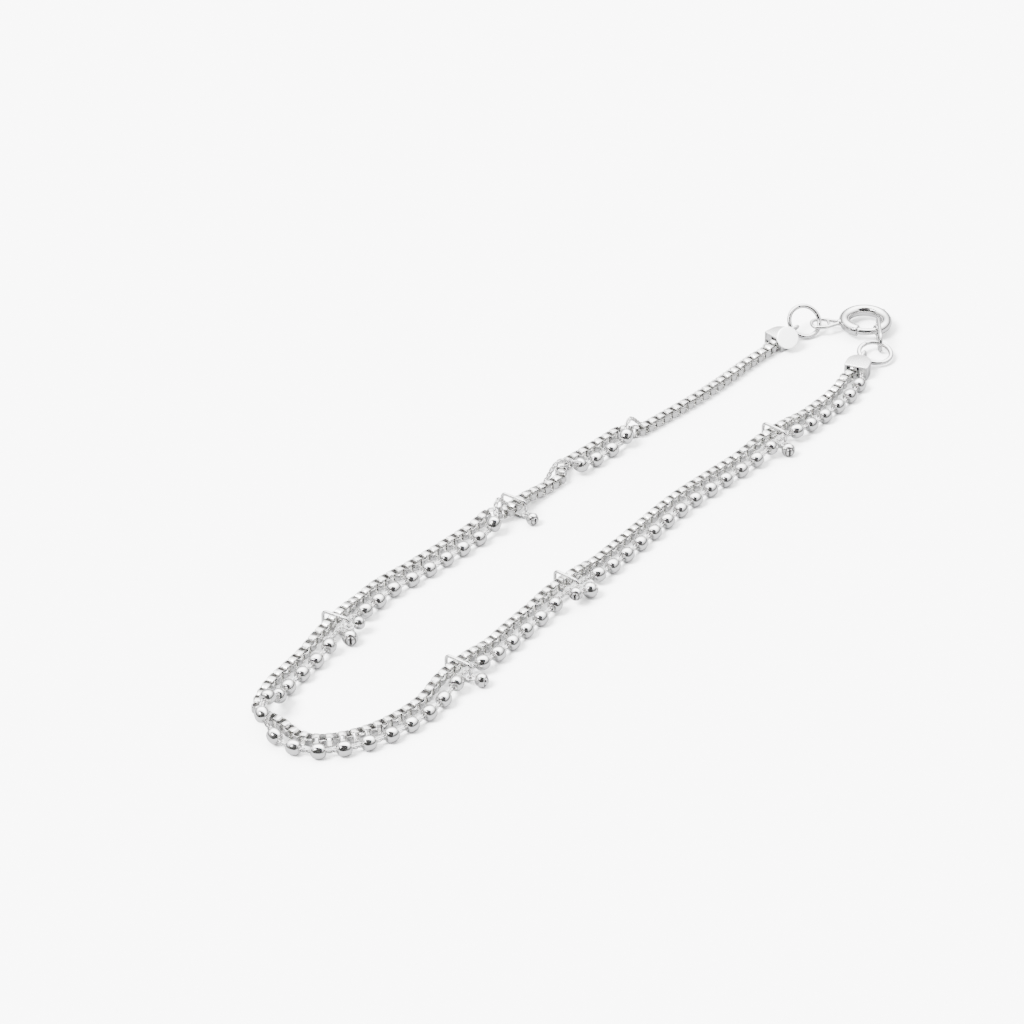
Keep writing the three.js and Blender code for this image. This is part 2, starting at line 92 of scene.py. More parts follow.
# How the strands lie
STRAND_GAP = 0.12
CROSSING_GAP = 0.7
CROSSING_RISE = 2.2
FLOOR_GAP = 0.02
BARE_MARGIN = 0.3
BOX_TO_MIDDLE = 0.16
BEAD_TO_MIDDLE = 0.38
BOX_OFFSET = BOX_WIDTH / 2 + BOX_TO_MIDDLE
BEAD_OFFSET = BEAD_DIAMETER / 2 + BEAD_TO_MIDDLE
BARE_OFFSET = BOX_WIDTH / 2 + STRAND_GAP + CONNECTOR_DIAMETER / 2 - BOX_OFFSET
ROUTE_STEPS = 60
ROUTE_REACH = 0.05
STRAND_REACH = 0.15
STRAND_SAMPLES = 1500
ROUTE = [
    (110.9, 0.3), (108, 0.8), (104, 1.0), (100, 1.0), (93, 1.3), (81, 2.6), (72, 3.3), (60, 4.3),
    (50, 4.0), (42, 4.4), (36, 4.9), (30, 5.6), (23, 4.8), (16, 3.8), (10, 3.0), (6.5, 2.6),
    (3.4, 1.6), (0.8, 0.2), (-0.3, -1.5), (-0.8, -3.6), (-1.3, -6.0), (-0.5, -9.0), (1.8, -11.3),
    (4.5, -12.9), (8, -14.1), (13.5, -14.7), (20, -14.0), (28, -13.9), (38, -13.3), (50, -13.6),
    (60, -13.3), (70, -12.9), (79, -13.5), (91, -14.5), (101, -15.0), (105, -14.9),
    (108.5, -14.3), (111.4, -13.4),
]

# Crossings: distance along the route, reach
CROSSINGS = [(31.0, 1.6), (44.9, 1.6), (58.6, 1.6), (111.9, 2.5)]

# Stretches without beads: from, to
BARE_STRETCHES = [(-10, 33.3), (42.8, 60.8)]

# Stations: distance along the route, half the length that each keeps bare
STATIONS = [(55.9, 3.2), (91.1, 4.6), (145.2, 3.0), (168.2, 4.6), (213.7, 3.0)]
STATION_WIRE = 0.45
STATION_GAP = 0.2
STATION_CORNER = 0.62
STATION_RISE = 3.0
STATION_LEVEL = 1.8

# Bells: station, diameter, swing, lift
BELLS = [
    (0, 1.75, -20, 0), (1, 2.1, -54, 0), (1, 1.8, 62, 0.8), (2, 1.9, 15, 0),
    (3, 1.8, -62, 0.9), (3, 2.2, 58, 0), (4, 1.9, -35, 0),
]
BELL_STEPS = 40
BELL_SLIT = 0.3
BELL_EYE = 1.4
BELL_EYE_WIRE = 0.28

# A bell's seam, stamped ring and slit, in shares of its radius
SEAM_AT = 0.02
SEAM_REACH = 0.05
SEAM_HEIGHT = 0.035
STAMP_AT = 0.66
STAMP_REACH = 0.08
STAMP_DEPTH = 0.15
SLIT_END = 0.56
SLIT_RUNOUT = 0.1
SLIT_DEPTH = 0.5

# Where a bell's slit and stamped ring are painted dark as shade: shares of its radius, and the slit's half
# width as a share of the slit
PAINTED_SHADE_FROM = 0.1
PAINTED_SHADE_RING = (0.56, 0.66)
PAINTED_SHADE_SLIT_END = 0.5
PAINTED_SHADE_SLIT = 0.45

# Caps
CAP_WALL = 0.25
CAP_GAP = 0.15
CAP_STRAND_GAP = 0.2
CAP_LENGTH = 3.2
CAP_END_WALL = 0.9
CAP_BEVEL = 0.12
CAP_ARC_STEP = 6
CUT_OVERRUN = 1
CAP_EYE = 1.7
CAP_EYE_WIRE = 0.5
CAP_EYE_SINK = 0.35
CAP_INNER = BOX_WIDTH + CAP_STRAND_GAP + CONNECTOR_DIAMETER
CAP_WIDTH = CAP_INNER + 2 * (CAP_GAP + CAP_WALL)
CAP_HEIGHT = BOX_WIDTH + CAP_GAP + CAP_WALL
CAP_REACH = CAP_LENGTH + CAP_EYE / 2 - CAP_EYE_SINK + CAP_EYE_WIRE / 2
BOX_IN_CAP = (CAP_INNER - BOX_WIDTH) / 2
BEAD_IN_CAP = (CAP_INNER - CONNECTOR_DIAMETER) / 2
CHAIN_TAIL = 1.2

# The turned-in edge over a cap's mouth, and the tabs beside its strands
LIP_RADIUS = 0.09
LIP_DROP = 0.1
LIP_INSET = 0.14
TAB_START = 0.12
TAB_END = 0.32
TAB_BESIDE_BOX = 0.03
TAB_OVER_BEADS = 0.15
TAB_BOTTOM = 0.1
TAB_SINK = 0.05

# The back cap's disc
DISC_DIAMETER = 3.1
DISC_THICKNESS = 0.6
DISC_EDGE = 0.14
DISC_LEAN = (-0.36, -0.7, 0.62)
DISC_FROM_MOUTH = 1.1

# Jump rings
JUMP_RING = 5.15
JUMP_WIRE = 0.64
JUMP_RADIUS = (JUMP_RING - JUMP_WIRE) / 2
JUMP_CUT = 1.2
JUMP_STEPS = 72
BACK_RING_LEAN = (-0.373, -0.6, 0.708)
FRONT_RING_LEAN = (-0.19, -0.15, 0.97)
HOOK_GAP = 0.4
HOOK_DROP = 0.2
FRONT_HOOK_DROP = 0.1
EYE_HOOK_GAP = 0.55
BACK_EYE_HEIGHT = 1.5
BACK_EYE_ROLL = 40
FRONT_EYE_HEIGHT = CAP_EYE / 2 + CAP_EYE_WIRE / 2 + FLOOR_GAP

# Clasp
CLASP_CENTRE = np.array([123.1, -7.2, 1.5])
CLASP_DIAMETER = 7.5
CLASP_TUBE = 1.6
CLASP_RADIUS = (CLASP_DIAMETER - CLASP_TUBE) / 2
CLASP_WALL = 0.22
CLASP_FRONT = 217.7
CLASP_SIDES = 36
CLASP_STEP = 2
GAP_HALF = 26
BOLT_DIAMETER = 0.96
BOLT_SEAT = 5
BOLT_NOSE = 6
BOLT_END = 140
BOLT_STEP = 3
BOLT_TRAVEL = 55
KNOB_AT = 136
KNOB_SIZE = 0.5
KNOB_OUT = 0.5
SLOT_GAP = 0.12

# The clasp's eye, with its outline in shares of its length and half width
EYE_LENGTH = 4.25
EYE_WIDTH = 2.7
EYE_WIRE = 0.5
EYE_DIRECTION = 134.4
EYE_START = CLASP_RADIUS + (CLASP_TUBE - EYE_WIRE) / 2
EYE_SHAPE = ((0, 0.12), (0.25, 0.45), (0.5, 0.85), (0.72, 1), (0.92, 0.78))

# The bar across the eye, in shares of the eye, and the solder: distance along the eye, radius
BAR_AT = 0.42
BAR_REACH = 0.74
BAR_WIRE = 0.84
SOLDER = ((-0.42, 0.05), (-0.36, 0.3), (-0.15, 0.46), (0.1, 0.48), (0.32, 0.36), (0.45, 0.08))

# The oval link in the clasp
LINK_WIRE = 0.5
LINK_GAP = 0.18
LINK_SPAN = 6.7
LINK_SLACK = 0.6
LINK_AT = 35

# The photograph's camera, in the anklet's own plan
CAMERA_FOOT = (-301.28, -273.45)
CAMERA_HEIGHT = 304.93
CAMERA_HEADING = 37.86
CAMERA_PITCH = 34.0
CAMERA_LENS = 144.1
CAMERA_NEAREST = 10

# From the plan used here to the frame: the bolt's axis is the clasp's centre in both
joint = frame["record"]["behaviour"]["joints"][0]
SHIFT = np.array(joint["pos_m"]) / MM - CLASP_CENTRE


def unit(v):
    v = np.asarray(v, float)
    return v / np.linalg.norm(v)


def heading(degrees):
    angle = math.radians(degrees)
    return np.array([math.cos(angle), math.sin(angle), 0.0])


def smooth(t):
    t = np.clip(t, 0, 1)
    return t * t * (3 - 2 * t)


def lerp(a, b, t):
    return a + (b - a) * t


# Curves


def centripetal(points, steps):
    """Points along a centripetal Catmull-Rom curve, with ends carried on straight."""
    p = np.array([(x, y, 0.0) for x, y in points])
    p = np.vstack([2 * p[0] - p[1], p, 2 * p[-1] - p[-2]])
    out = []
    for i in range(1, len(p) - 2):
        x0, x1, x2, x3 = p[i - 1:i + 3]
        d0, d1, d2 = (math.sqrt(np.linalg.norm(b - a)) for a, b in ((x0, x1), (x1, x2), (x2, x3)))
        t1 = ((x1 - x0) / d0 - (x2 - x0) / (d0 + d1) + (x2 - x1) / d1) * d1
        t2 = ((x2 - x1) / d1 - (x3 - x1) / (d1 + d2) + (x3 - x2) / d2) * d1
        a = 2 * x1 - 2 * x2 + t1 + t2
        b = -3 * x1 + 3 * x2 - 2 * t1 - t2
        for k in range(steps):
            t = k / steps
            out.append(((a * t + b) * t + t1) * t + x1)
    out.append(p[-2])
    return np.array(out)


def closed_curve(outline, steps):
    """A smooth closed curve through the points of an outline."""
    p = np.array(outline, float)
    count = len(p)
    out = []
    for i in range(count):
        x0, x1, x2, x3 = p[i - 1], p[i], p[(i + 1) % count], p[(i + 2) % count]
        for k in range(steps):
            t = k / steps
            square = (2 * x0 - 5 * x1 + 4 * x2 - x3) * t ** 2
            cube = (3 * x1 - x0 - 3 * x2 + x3) * t ** 3
            out.append(0.5 * (2 * x1 + (x2 - x0) * t + square + cube))
    return out


class Path:
    """A line of points, read by the distance along it."""

    def __init__(self, points):
        self.points = np.asarray(points, float)
        steps = np.linalg.norm(np.diff(self.points, axis=0), axis=1)
        self.along = np.concatenate([[0], np.cumsum(steps)])
        self.length = self.along[-1]

    def at(self, distance):
        return np.array([np.interp(distance, self.along, self.points[:, k]) for k in range(3)])

    def tangent(self, distance, reach):
        start = min(max(distance - reach, 0), self.length - 2 * reach)
        return unit(self.at(start + 2 * reach) - self.at(start))

    def frame(self, distance, reach=STRAND_REACH):
        """Place, then the directions ahead, to the left and up."""
        ahead = self.tangent(distance, reach)
        left = unit(np.cross(UP, ahead))
        return self.at(distance), ahead, left, np.cross(ahead, left)


# How the two strands lie along the route

route = Path(centripetal(ROUTE, ROUTE_STEPS))


def route_frame(distance):
    """Place, ahead and left on the route, which runs on straight past its ends."""
    inside = min(max(distance, 0), route.length)
    ahead = route.tangent(inside, ROUTE_REACH)
    return route.at(inside) + ahead * (distance - inside), ahead, np.cross(UP, ahead)


def bead_side(distance):
    """1 where the beads lie to the left of the box chain, -1 to the right, and between at a crossing."""
    side = -1
    for at, reach in CROSSINGS:
        side *= -math.sin(math.pi / 2 * min(max((distance - at) / reach, -1), 1))
    return side


def crossing_rise(distance):
    """How far the bead chain is lifted over the box chain."""
    shares = [min(max((distance - at) / (CROSSING_RISE * reach), -1), 1) for at, reach in CROSSINGS]
    return sum((BOX_WIDTH + CROSSING_GAP) * math.cos(math.pi / 2 * share) ** 2 for share in shares)


def station_lift(distance):
    """How far both chains are lifted by a station's wire under them."""
    height = STATION_WIRE + STATION_GAP + FLOOR_GAP
    away = [abs(distance - at) - STATION_LEVEL for at, _ in STATIONS]
    return max(height * (1 - smooth(a / (2 * STATION_RISE))) for a in away)


def bare_depth(distance):
    """How far a distance lies inside the nearest stretch without beads."""
    ends = BARE_STRETCHES + [(at - bare, at + bare) for at, bare in STATIONS]
    return max(min(distance - start, end - distance) for start, end in ends)


def pair_at(distance):
    """Places of the box chain and the bead chain, the way to the left and the beads' side."""
    place, _, left = route_frame(distance)
    closing = 1 - smooth(min(distance, route.length - distance) / (LAST_BEAD_TO_CAP - BEAD_LENGTH / 2))
    side = bead_side(distance)
    lift = station_lift(distance)
    bare = smooth(bare_depth(distance) / (BEAD_PITCH / 2))
    box = place - left * side * lerp(BOX_OFFSET, BOX_IN_CAP, closing)
    bead = place + left * side * lerp(lerp(BEAD_OFFSET, BARE_OFFSET, bare), BEAD_IN_CAP, closing)
    box[2] = BOX_WIDTH / 2 + lift
    bead[2] = lerp(BEAD_DIAMETER, CONNECTOR_DIAMETER, bare) / 2 + FLOOR_GAP + lift + crossing_rise(distance)
    return box, bead, left, side


span = route.length + 2 * CHAIN_TAIL
sample_distances = [-CHAIN_TAIL + span * i / STRAND_SAMPLES for i in range(STRAND_SAMPLES + 1)]
pairs = [pair_at(distance) for distance in sample_distances]
box_path = Path([pair[0] for pair in pairs])
bead_path = Path([pair[1] for pair in pairs])

# Meshes: a part is an array of points and a list of faces


def mesh_object(name, points, faces):
    mesh = bpy.data.meshes.new(name)
    mesh.from_pydata(np.asarray(points).tolist(), [], [tuple(int(i) for i in f) for f in faces])
    mesh.validate()
    mesh.update()
    thing = bpy.data.objects.new(name, mesh)
    bpy.context.collection.objects.link(thing)
    return thing


def make_piece(name, part, material, node, body="anklet", shade=True):
    """One piece of the scene, from a part in the plan's millimetres."""
    verts, faces = part
    piece = mesh_object(name, (verts + SHIFT) * MM, faces)
    piece.data.polygons.foreach_set("use_smooth", [shade] * len(piece.data.polygons))
    piece.data.materials.append(material)
    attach(piece, body)
    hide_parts(node)
    return piece


def circle(radius, sides, turn=0.0):
    """Points round the middle, starting the given share of a step past the first axis."""
    angles = [2 * math.pi * (i + turn) / sides for i in range(sides)]
    return [(radius * math.cos(a), radius * math.sin(a)) for a in angles]


def band_faces(rows, columns, closed_rows=False):
    """Faces between rows of points, each row a closed ring."""
    faces = []
    for i in range(rows if closed_rows else rows - 1):
        near = i * columns
        far = (i + 1) % rows * columns
        for j in range(columns):
            k = (j + 1) % columns
            faces.append((near + j, near + k, far + k, far + j))
    return faces


def end_faces(rows, columns):
    """The faces that close the first and the last row."""
    return [tuple(range(columns))[::-1], tuple(range((rows - 1) * columns, rows * columns))]


def lathe(profile, sides):
    """A solid turned about X from (x, radius) pairs."""
    verts = [(x, y, z) for x, radius in profile for y, z in circle(radius, sides)]
    return np.array(verts), band_faces(len(profile), sides) + end_faces(len(profile), sides)


def loop_sweep(outline, section):
    """A closed band in the XY plane: section pairs are (outwards, along Z)."""
    points = np.array([(x, y, 0.0) for x, y in outline])
    count = len(points)
    verts = []
    for i in range(count):
        along = unit(points[(i + 1) % count] - points[i - 1])
        out = np.cross(along, UP)
        verts += [points[i] + out * a - UP * b for a, b in section]
    return np.array(verts), band_faces(count, len(section), closed_rows=True)


def rounded_outline(half_width, half_height, corner, steps):
    """A rectangle with round corners."""
    x, y = half_width - corner, half_height - corner
    outline = []
    for sx, sy, start in ((1, 1, 0), (-1, 1, 90), (-1, -1, 180), (1, -1, 270)):
        for i in range(steps + 1):
            turn = heading(start + 90 * i / steps)
            outline.append((sx * x + corner * turn[0], sy * y + corner * turn[1]))
    return outline


def tube(points, radius, sides):
    """A round tube with domed ends along points that start out level."""
    points = np.asarray(points, float)
    last = len(points) - 1
    side = unit(np.cross(points[1] - points[0], UP))
    rows = []
    for i in range(last + 1):
        ahead = unit(points[min(i + 1, last)] - points[max(i - 1, 0)])
        side = unit(side - ahead * np.dot(side, ahead))
        rows.append((points[i], ahead, side, radius))
    dome = [(radius * math.sin(a), radius * math.cos(a)) for a in np.radians((25, 50, 75))]
    start, ahead, side, _ = rows[0]
    head = [(start - ahead * out, ahead, side, r) for out, r in dome[::-1]]
    end, ahead, side, _ = rows[-1]
    tail = [(end + ahead * out, ahead, side, r) for out, r in dome]
    rows = head + rows + tail
    verts = []
    for place, ahead, side, r in rows:
        up = np.cross(ahead, side)
        verts += [place + side * y + up * z for y, z in circle(r, sides)]
    return np.array(verts), band_faces(len(rows), sides) + end_faces(len(rows), sides)


def prism(outline, low, high):
    """A solid that stands on an outline in the XY plane."""
    verts = [(x, y, z) for z in (low, high) for x, y in outline]
    return np.array(verts, float), band_faces(2, len(outline)) + end_faces(2, len(outline))


def placed(part, origin, x, y):
    """A part with its X and Y turned along two directions."""
    x = unit(x)
    z = unit(np.cross(x, y))
    y = np.cross(z, x)
    verts = part[0][:, :1] * x + part[0][:, 1:2] * y + part[0][:, 2:3] * z + np.asarray(origin)
    return verts, part[1]


def joined(parts):
    verts, faces, start = [], [], 0
    for part_verts, part_faces in parts:
        verts.append(part_verts)
        faces += [tuple(i + start for i in f) for f in part_faces]
        start += len(part_verts)
    return np.vstack(verts), faces


def applied(thing):
    """An object's mesh as a part, with its modifiers applied; the object is removed."""
    mesh = bpy.data.meshes.new_from_object(thing.evaluated_get(bpy.context.evaluated_depsgraph_get()))
    verts = np.array([v.co for v in mesh.vertices])
    faces = [tuple(p.vertices) for p in mesh.polygons]
    bpy.data.objects.remove(thing)
    bpy.data.meshes.remove(mesh)
    return verts, faces


# Materials

WIDE_GRAIN = 420
DULL_SHADE = 0.93
DULL_BELOW = 0.32
BRIGHT_ABOVE = 0.62
POLISH_FROM = (0.3, 0.7)
POLISH_SPREAD = (0.7, 1.5)
RUB_DEPTH = 0.02


def noise(nodes, scale, detail):
    texture = nodes.new("ShaderNodeTexNoise")
    texture.inputs["Scale"].default_value = scale
    texture.inputs["Detail"].default_value = detail
    return texture


def map_range(nodes, low, high, to_low, to_high):
    node = nodes.new("ShaderNodeMapRange")
    node.inputs["From Min"].default_value = low
    node.inputs["From Max"].default_value = high
    node.inputs["To Min"].default_value = to_low
    node.inputs["To Max"].default_value = to_high
    return node


def polished_silver(name, colour, roughness, grain, bump, seed, metallic=1.0):
    """Bright silver with fine rubbing marks and slow changes of polish."""
    material = bpy.data.materials.new(name)
    material.use_nodes = True
    nodes = material.node_tree.nodes
    links = material.node_tree.links
    shader = nodes["Principled BSDF"]
    shader.inputs["Metallic"].default_value = metallic
    where = nodes.new("ShaderNodeTexCoord")
    wide = noise(nodes, WIDE_GRAIN + seed, detail=3)
    fine = noise(nodes, grain, detail=5)
    links.new(where.outputs["Object"], wide.inputs["Vector"])
    links.new(where.outputs["Object"], fine.inputs["Vector"])
    tint = nodes.new("ShaderNodeValToRGB")
    dull, bright = tint.color_ramp.elements
    dull.position = DULL_BELOW
    dull.color = (*[c * DULL_SHADE for c in colour], 1)
    bright.position = BRIGHT_ABOVE
    bright.color = (*colour, 1)
    links.new(wide.outputs["Fac"], tint.inputs["Fac"])
    links.new(tint.outputs["Color"], shader.inputs["Base Color"])
    polish = map_range(nodes, *POLISH_FROM, *[roughness * share for share in POLISH_SPREAD])
    links.new(fine.outputs["Fac"], polish.inputs["Value"])
    links.new(polish.outputs["Result"], shader.inputs["Roughness"])
    relief = nodes.new("ShaderNodeBump")
    relief.inputs["Strength"].default_value = bump
    relief.inputs["Distance"].default_value = RUB_DEPTH * MM
    links.new(fine.outputs["Fac"], relief.inputs["Height"])
    links.new(relief.outputs["Normal"], shader.inputs["Normal"])
    return material


# Silvers: name, colour, roughness, grain, bump, seed
SILVER = (0.9, 0.895, 0.885)
bead_silver = polished_silver("bead_silver", SILVER, 0.08, 5200, 0.05, 1)
# The box chain's silver is darker than the beads': painted shade standing in for the shade among the links'
# many small faces
link_silver = polished_silver("link_silver", (0.73, 0.725, 0.71), 0.16, 7600, 0.16, 2)
wire_silver = polished_silver("wire_silver", (0.84, 0.835, 0.825), 0.10, 6100, 0.08, 3)
plate_silver = polished_silver("plate_silver", (0.74, 0.735, 0.73), 0.32, 8200, 0.25, 4)
disc_silver = polished_silver("disc_silver", (0.985, 0.985, 0.98), 0.42, 6400, 0.06, 6, metallic=0.3)
clasp_silver = polished_silver("clasp_silver", SILVER, 0.08, 4300, 0.05, 5)
# Near-black silver for a bell's slit and stamped ring: painted shade
recess_shade_silver = polished_silver("recess_shade_silver", (0.16, 0.155, 0.15), 0.4, 5200, 0.1, 7)

# Box chain


def box_link():
    """A square loop of flat strip with a slightly crowned outer face, along X, its plates up and down."""
    half_length = (LINK_LENGTH - LINK_PLATE) / 2
    half_width = (BOX_WIDTH - LINK_PLATE) / 2 - LINK_INSET
    outline = rounded_outline(half_length, half_width, LINK_CORNER - LINK_PLATE / 2, steps=3)
    t, w = LINK_PLATE / 2, LINK_STRIP / 2
    half = [(-t, w - LINK_BURR), (-t + LINK_BURR, w), (t - LINK_EDGE, w), (t - LINK_CROWN, w - LINK_CROWN_IN)]
    section = [(a, -b) for a, b in half] + [(t, 0)] + half[::-1]
    return loop_sweep(outline, section)


def build_box_chain():
    """Links that lie flat and on edge in turn, each with a little play."""
    rng = random.Random(LINK_SEED)
    link = box_link()
    count = int(round((box_path.length - LINK_LENGTH) / LINK_PITCH))
    pitch = (box_path.length - LINK_LENGTH) / count
    parts = []
    for i in range(count + 1):
        place, ahead, left, up = box_path.frame(LINK_LENGTH / 2 + i * pitch, LINK_PITCH / 2)
        roll, nod, turn = (math.radians(rng.uniform(-LINK_PLAY, LINK_PLAY)) for _ in range(3))
        along = ahead + up * nod * LINK_SWAY + left * turn * LINK_SWAY
        left, up = left + up * roll, up - left * roll
        parts.append(placed(link, place, along, up if i % 2 else left))
    make_piece("box_chain_links", joined(parts), link_silver, "box_chain", shade=False)


# Bead chain


def barrel_bead():
    """A barrel with flattened ends, dimpled round its hole."""
    half, radius = BEAD_LENGTH / 2, BEAD_DIAMETER / 2
    end = [
        (half - BEAD_DIMPLE, BEAD_HOLE_RADIUS * BEAD_HOLE_FLOOR),
        (half - BEAD_LIP, BEAD_HOLE_RADIUS),
        (half, BEAD_HOLE_RADIUS + BEAD_RIM),
    ]
    profile = [(-x, r) for x, r in end]
    for k in range(1, BEAD_ARC_STEPS):
        angle = math.radians(-BEAD_ARC + 2 * BEAD_ARC * k / BEAD_ARC_STEPS)
        swell = math.sqrt(math.cos(angle))
        profile.append((half * BEAD_FULLNESS * math.sin(angle), radius * BEAD_FULLNESS * swell))
    return lathe(profile + end[::-1], sides=28)


def connector_link():
    half_length = (CONNECTOR_LENGTH - CONNECTOR_WIRE) / 2
    half_width = (CONNECTOR_DIAMETER - CONNECTOR_WIRE) / 2
    outline = [(x * half_length, y * half_width) for x, y in circle(1, sides=12)]
    return loop_sweep(outline, circle(CONNECTOR_WIRE / 2, sides=6))


def bead_centres():
    """Places of the beads along their chain, with none in the bare stretches."""
    first = CHAIN_TAIL + LAST_BEAD_TO_CAP
    count = int(math.floor((bead_path.length - 2 * first) / BEAD_PITCH + 0.5))
    step = (bead_path.length - 2 * first) / count
    slots = [first + i * step for i in range(count + 1)]
    distances = np.interp(slots, bead_path.along, sample_distances)
    return [slot for slot, distance in zip(slots, distances) if bare_depth(distance) <= BARE_MARGIN]


def build_bead_chain():
    """Beads, and the fine links that run from bead to bead and along the bare stretches."""
    rng = random.Random(BEAD_SEED)
    bead = barrel_bead()
    link = connector_link()
    beads, links = [], []
    centres = bead_centres()
    for centre in centres:
        place, ahead, left, up = bead_path.frame(centre, BEAD_SEAT)
        spin = rng.uniform(-BEAD_SPIN, BEAD_SPIN)
        beads.append(placed(bead, place, ahead, left * math.cos(spin) + up * math.sin(spin)))
    inside = BEAD_LENGTH / 2 - CONNECTOR_IN_BEAD
    edges = [CONNECTOR_END] + [centre + s * inside for centre in centres for s in (-1, 1)]
    edges.append(bead_path.length - CONNECTOR_END)
    for start, end in zip(edges[::2], edges[1::2]):
        count = max(int(round((end - start) / CONNECTOR_PITCH)), 1)
        for k in range(count + 1):
            place, ahead, left, up = bead_path.frame(lerp(start, end, k / count))
            lean = math.radians(CONNECTOR_LEAN + 90 * (k % 2))
            links.append(placed(link, place, ahead, left * math.cos(lean) + up * math.sin(lean)))
    make_piece("beads", joined(beads), bead_silver, "bead_chain")
    make_piece("bead_links", joined(links), wire_silver, "bead_chain")


# Stations and bells


def station_place(at):
    """A station's centre, the way towards its beads, and half its width and height."""
    box, bead, left, side = pair_at(at)
    bead_way = left if side > 0 else -left
    spread = float(np.dot(bead - box, bead_way))
    bell_room = (BELL_EYE + STATION_WIRE) / 2
    clear = STATION_GAP + STATION_WIRE / 2
    box_room, bead_room = (bell_room, clear) if bead_way[1] > 0 else (clear, bell_room)
    box_edge = -BOX_WIDTH / 2 - box_room
    bead_edge = max(spread + CONNECTOR_DIAMETER / 2 + bead_room, BOX_WIDTH / 2 + clear)
    top = max(box[2] + BOX_WIDTH / 2, bead[2] + CONNECTOR_DIAMETER / 2) + clear
    bottom = STATION_WIRE / 2 + FLOOR_GAP / 2
    centre = box + bead_way * (box_edge + bead_edge) / 2
    centre[2] = (top + bottom) / 2
    return centre, bead_way, (bead_edge - box_edge) / 2, (top - bottom) / 2


def build_station(number, place):
    centre, bead_way, half_width, half_height = place
    outline = rounded_outline(half_width, half_height, STATION_CORNER, steps=8)
    ring = loop_sweep(outline, circle(STATION_WIRE / 2, sides=14))
    ring = placed(ring, centre, bead_way, UP)
    make_piece(f"station_wire_{number}", ring, wire_silver, f"station_ring_{number}")


def bell_middle(diameter):
    """How far a bell's middle lies from the middle of its eye."""
    return (BELL_EYE + diameter - BELL_EYE_WIRE) / 2


def bell_part(diameter):
    """A slit bell towards X: half shells with a rolled seam, a stamped ring and slit, and its eye."""
    radius = diameter / 2
    centre = bell_middle(diameter)
    verts = []
    for i in range(BELL_STEPS + 1):
        polar = math.pi * i / BELL_STEPS
        x, ring = -math.cos(polar), math.sin(polar)
        for y, z in circle(ring, BELL_STEPS):
            swell = 1 - SEAM_HEIGHT + SEAM_HEIGHT * math.exp(-((x - SEAM_AT) / SEAM_REACH) ** 2)
            if x > 0:
                swell -= STAMP_DEPTH * math.exp(-((ring - STAMP_AT) / STAMP_REACH) ** 2)
                slit = math.exp(-(y * radius / (BELL_SLIT / 2)) ** 4)
                swell -= SLIT_DEPTH * slit * smooth((SLIT_END - ring) / SLIT_RUNOUT)
            verts.append((centre + radius * x * swell, radius * y * swell, radius * z * swell))
    body = np.array(verts), band_faces(BELL_STEPS + 1, BELL_STEPS)
    eye = loop_sweep(circle((BELL_EYE - BELL_EYE_WIRE) / 2, sides=28), circle(BELL_EYE_WIRE / 2, sides=10))
    return joined([body, eye])


def bell_painted_shade(part, diameter):
    """For each face of a bell, 1 where it lies in the slit or the stamped ring, which are painted dark as
    shade, and 0 elsewhere.
    """
    radius = diameter / 2
    verts, faces = part
    marks = []
    for face in faces:
        x, y, z = (verts[list(face)].mean(axis=0) - (bell_middle(diameter), 0, 0)) / radius
        ring = math.hypot(y, z)
        in_slit = abs(y) * radius < BELL_SLIT * PAINTED_SHADE_SLIT and ring < PAINTED_SHADE_SLIT_END
        in_stamp = PAINTED_SHADE_RING[0] < ring < PAINTED_SHADE_RING[1]
        marks.append(1 if x > PAINTED_SHADE_FROM and (in_slit or in_stamp) else 0)
    return marks


def build_bell(number, row, places):
    """A bell with its eye on the near side of its station, turned by its swing."""
    station, diameter, swing, lift = row
    centre, bead_way, half_width, _ = places[station]
    near_way = bead_way if bead_way[1] < 0 else -bead_way
    hook = centre + near_way * half_width
    hook[2] = diameter / 2 + lift + FLOOR_GAP / 2
    cos, sin, _ = heading(swing)
    way = np.array([near_way[0] * cos - near_way[1] * sin, near_way[0] * sin + near_way[1] * cos, 0])
    part = bell_part(diameter)
    bell = placed(part, hook, way, np.cross(UP, way))
    piece = make_piece(f"bell_shell_{number}", bell, clasp_silver, f"bell_{number}")
    # The slit and the stamped ring take the near-black silver: painted shade
    piece.data.materials.append(recess_shade_silver)
    for polygon, mark in zip(piece.data.polygons, bell_painted_shade(part, diameter)):
        polygon.material_index = mark


# Caps


def cap_tabs(bead_side_y):
    """Two tabs that close a cap's mouth, over the bead chain's links and beside the box chain."""
    wall = CAP_INNER / 2 + CAP_GAP
    over_beads = BEAD_IN_CAP - CONNECTOR_DIAMETER / 2 - TAB_OVER_BEADS
    beside_box = CAP_INNER / 2 + TAB_BESIDE_BOX
    rows = (
        (bead_side_y, over_beads, CONNECTOR_DIAMETER + TAB_BOTTOM),
        (-bead_side_y, beside_box, TAB_BOTTOM),
    )
    tabs = []
    for side, inner, bottom in rows:
        near, far = sorted((inner * side, wall * side))
        outline = [(TAB_START, near), (TAB_END, near), (TAB_END, far), (TAB_START, far)]
        tabs.append(prism(outline, bottom, CAP_HEIGHT - CAP_WALL + TAB_SINK))
    return tabs


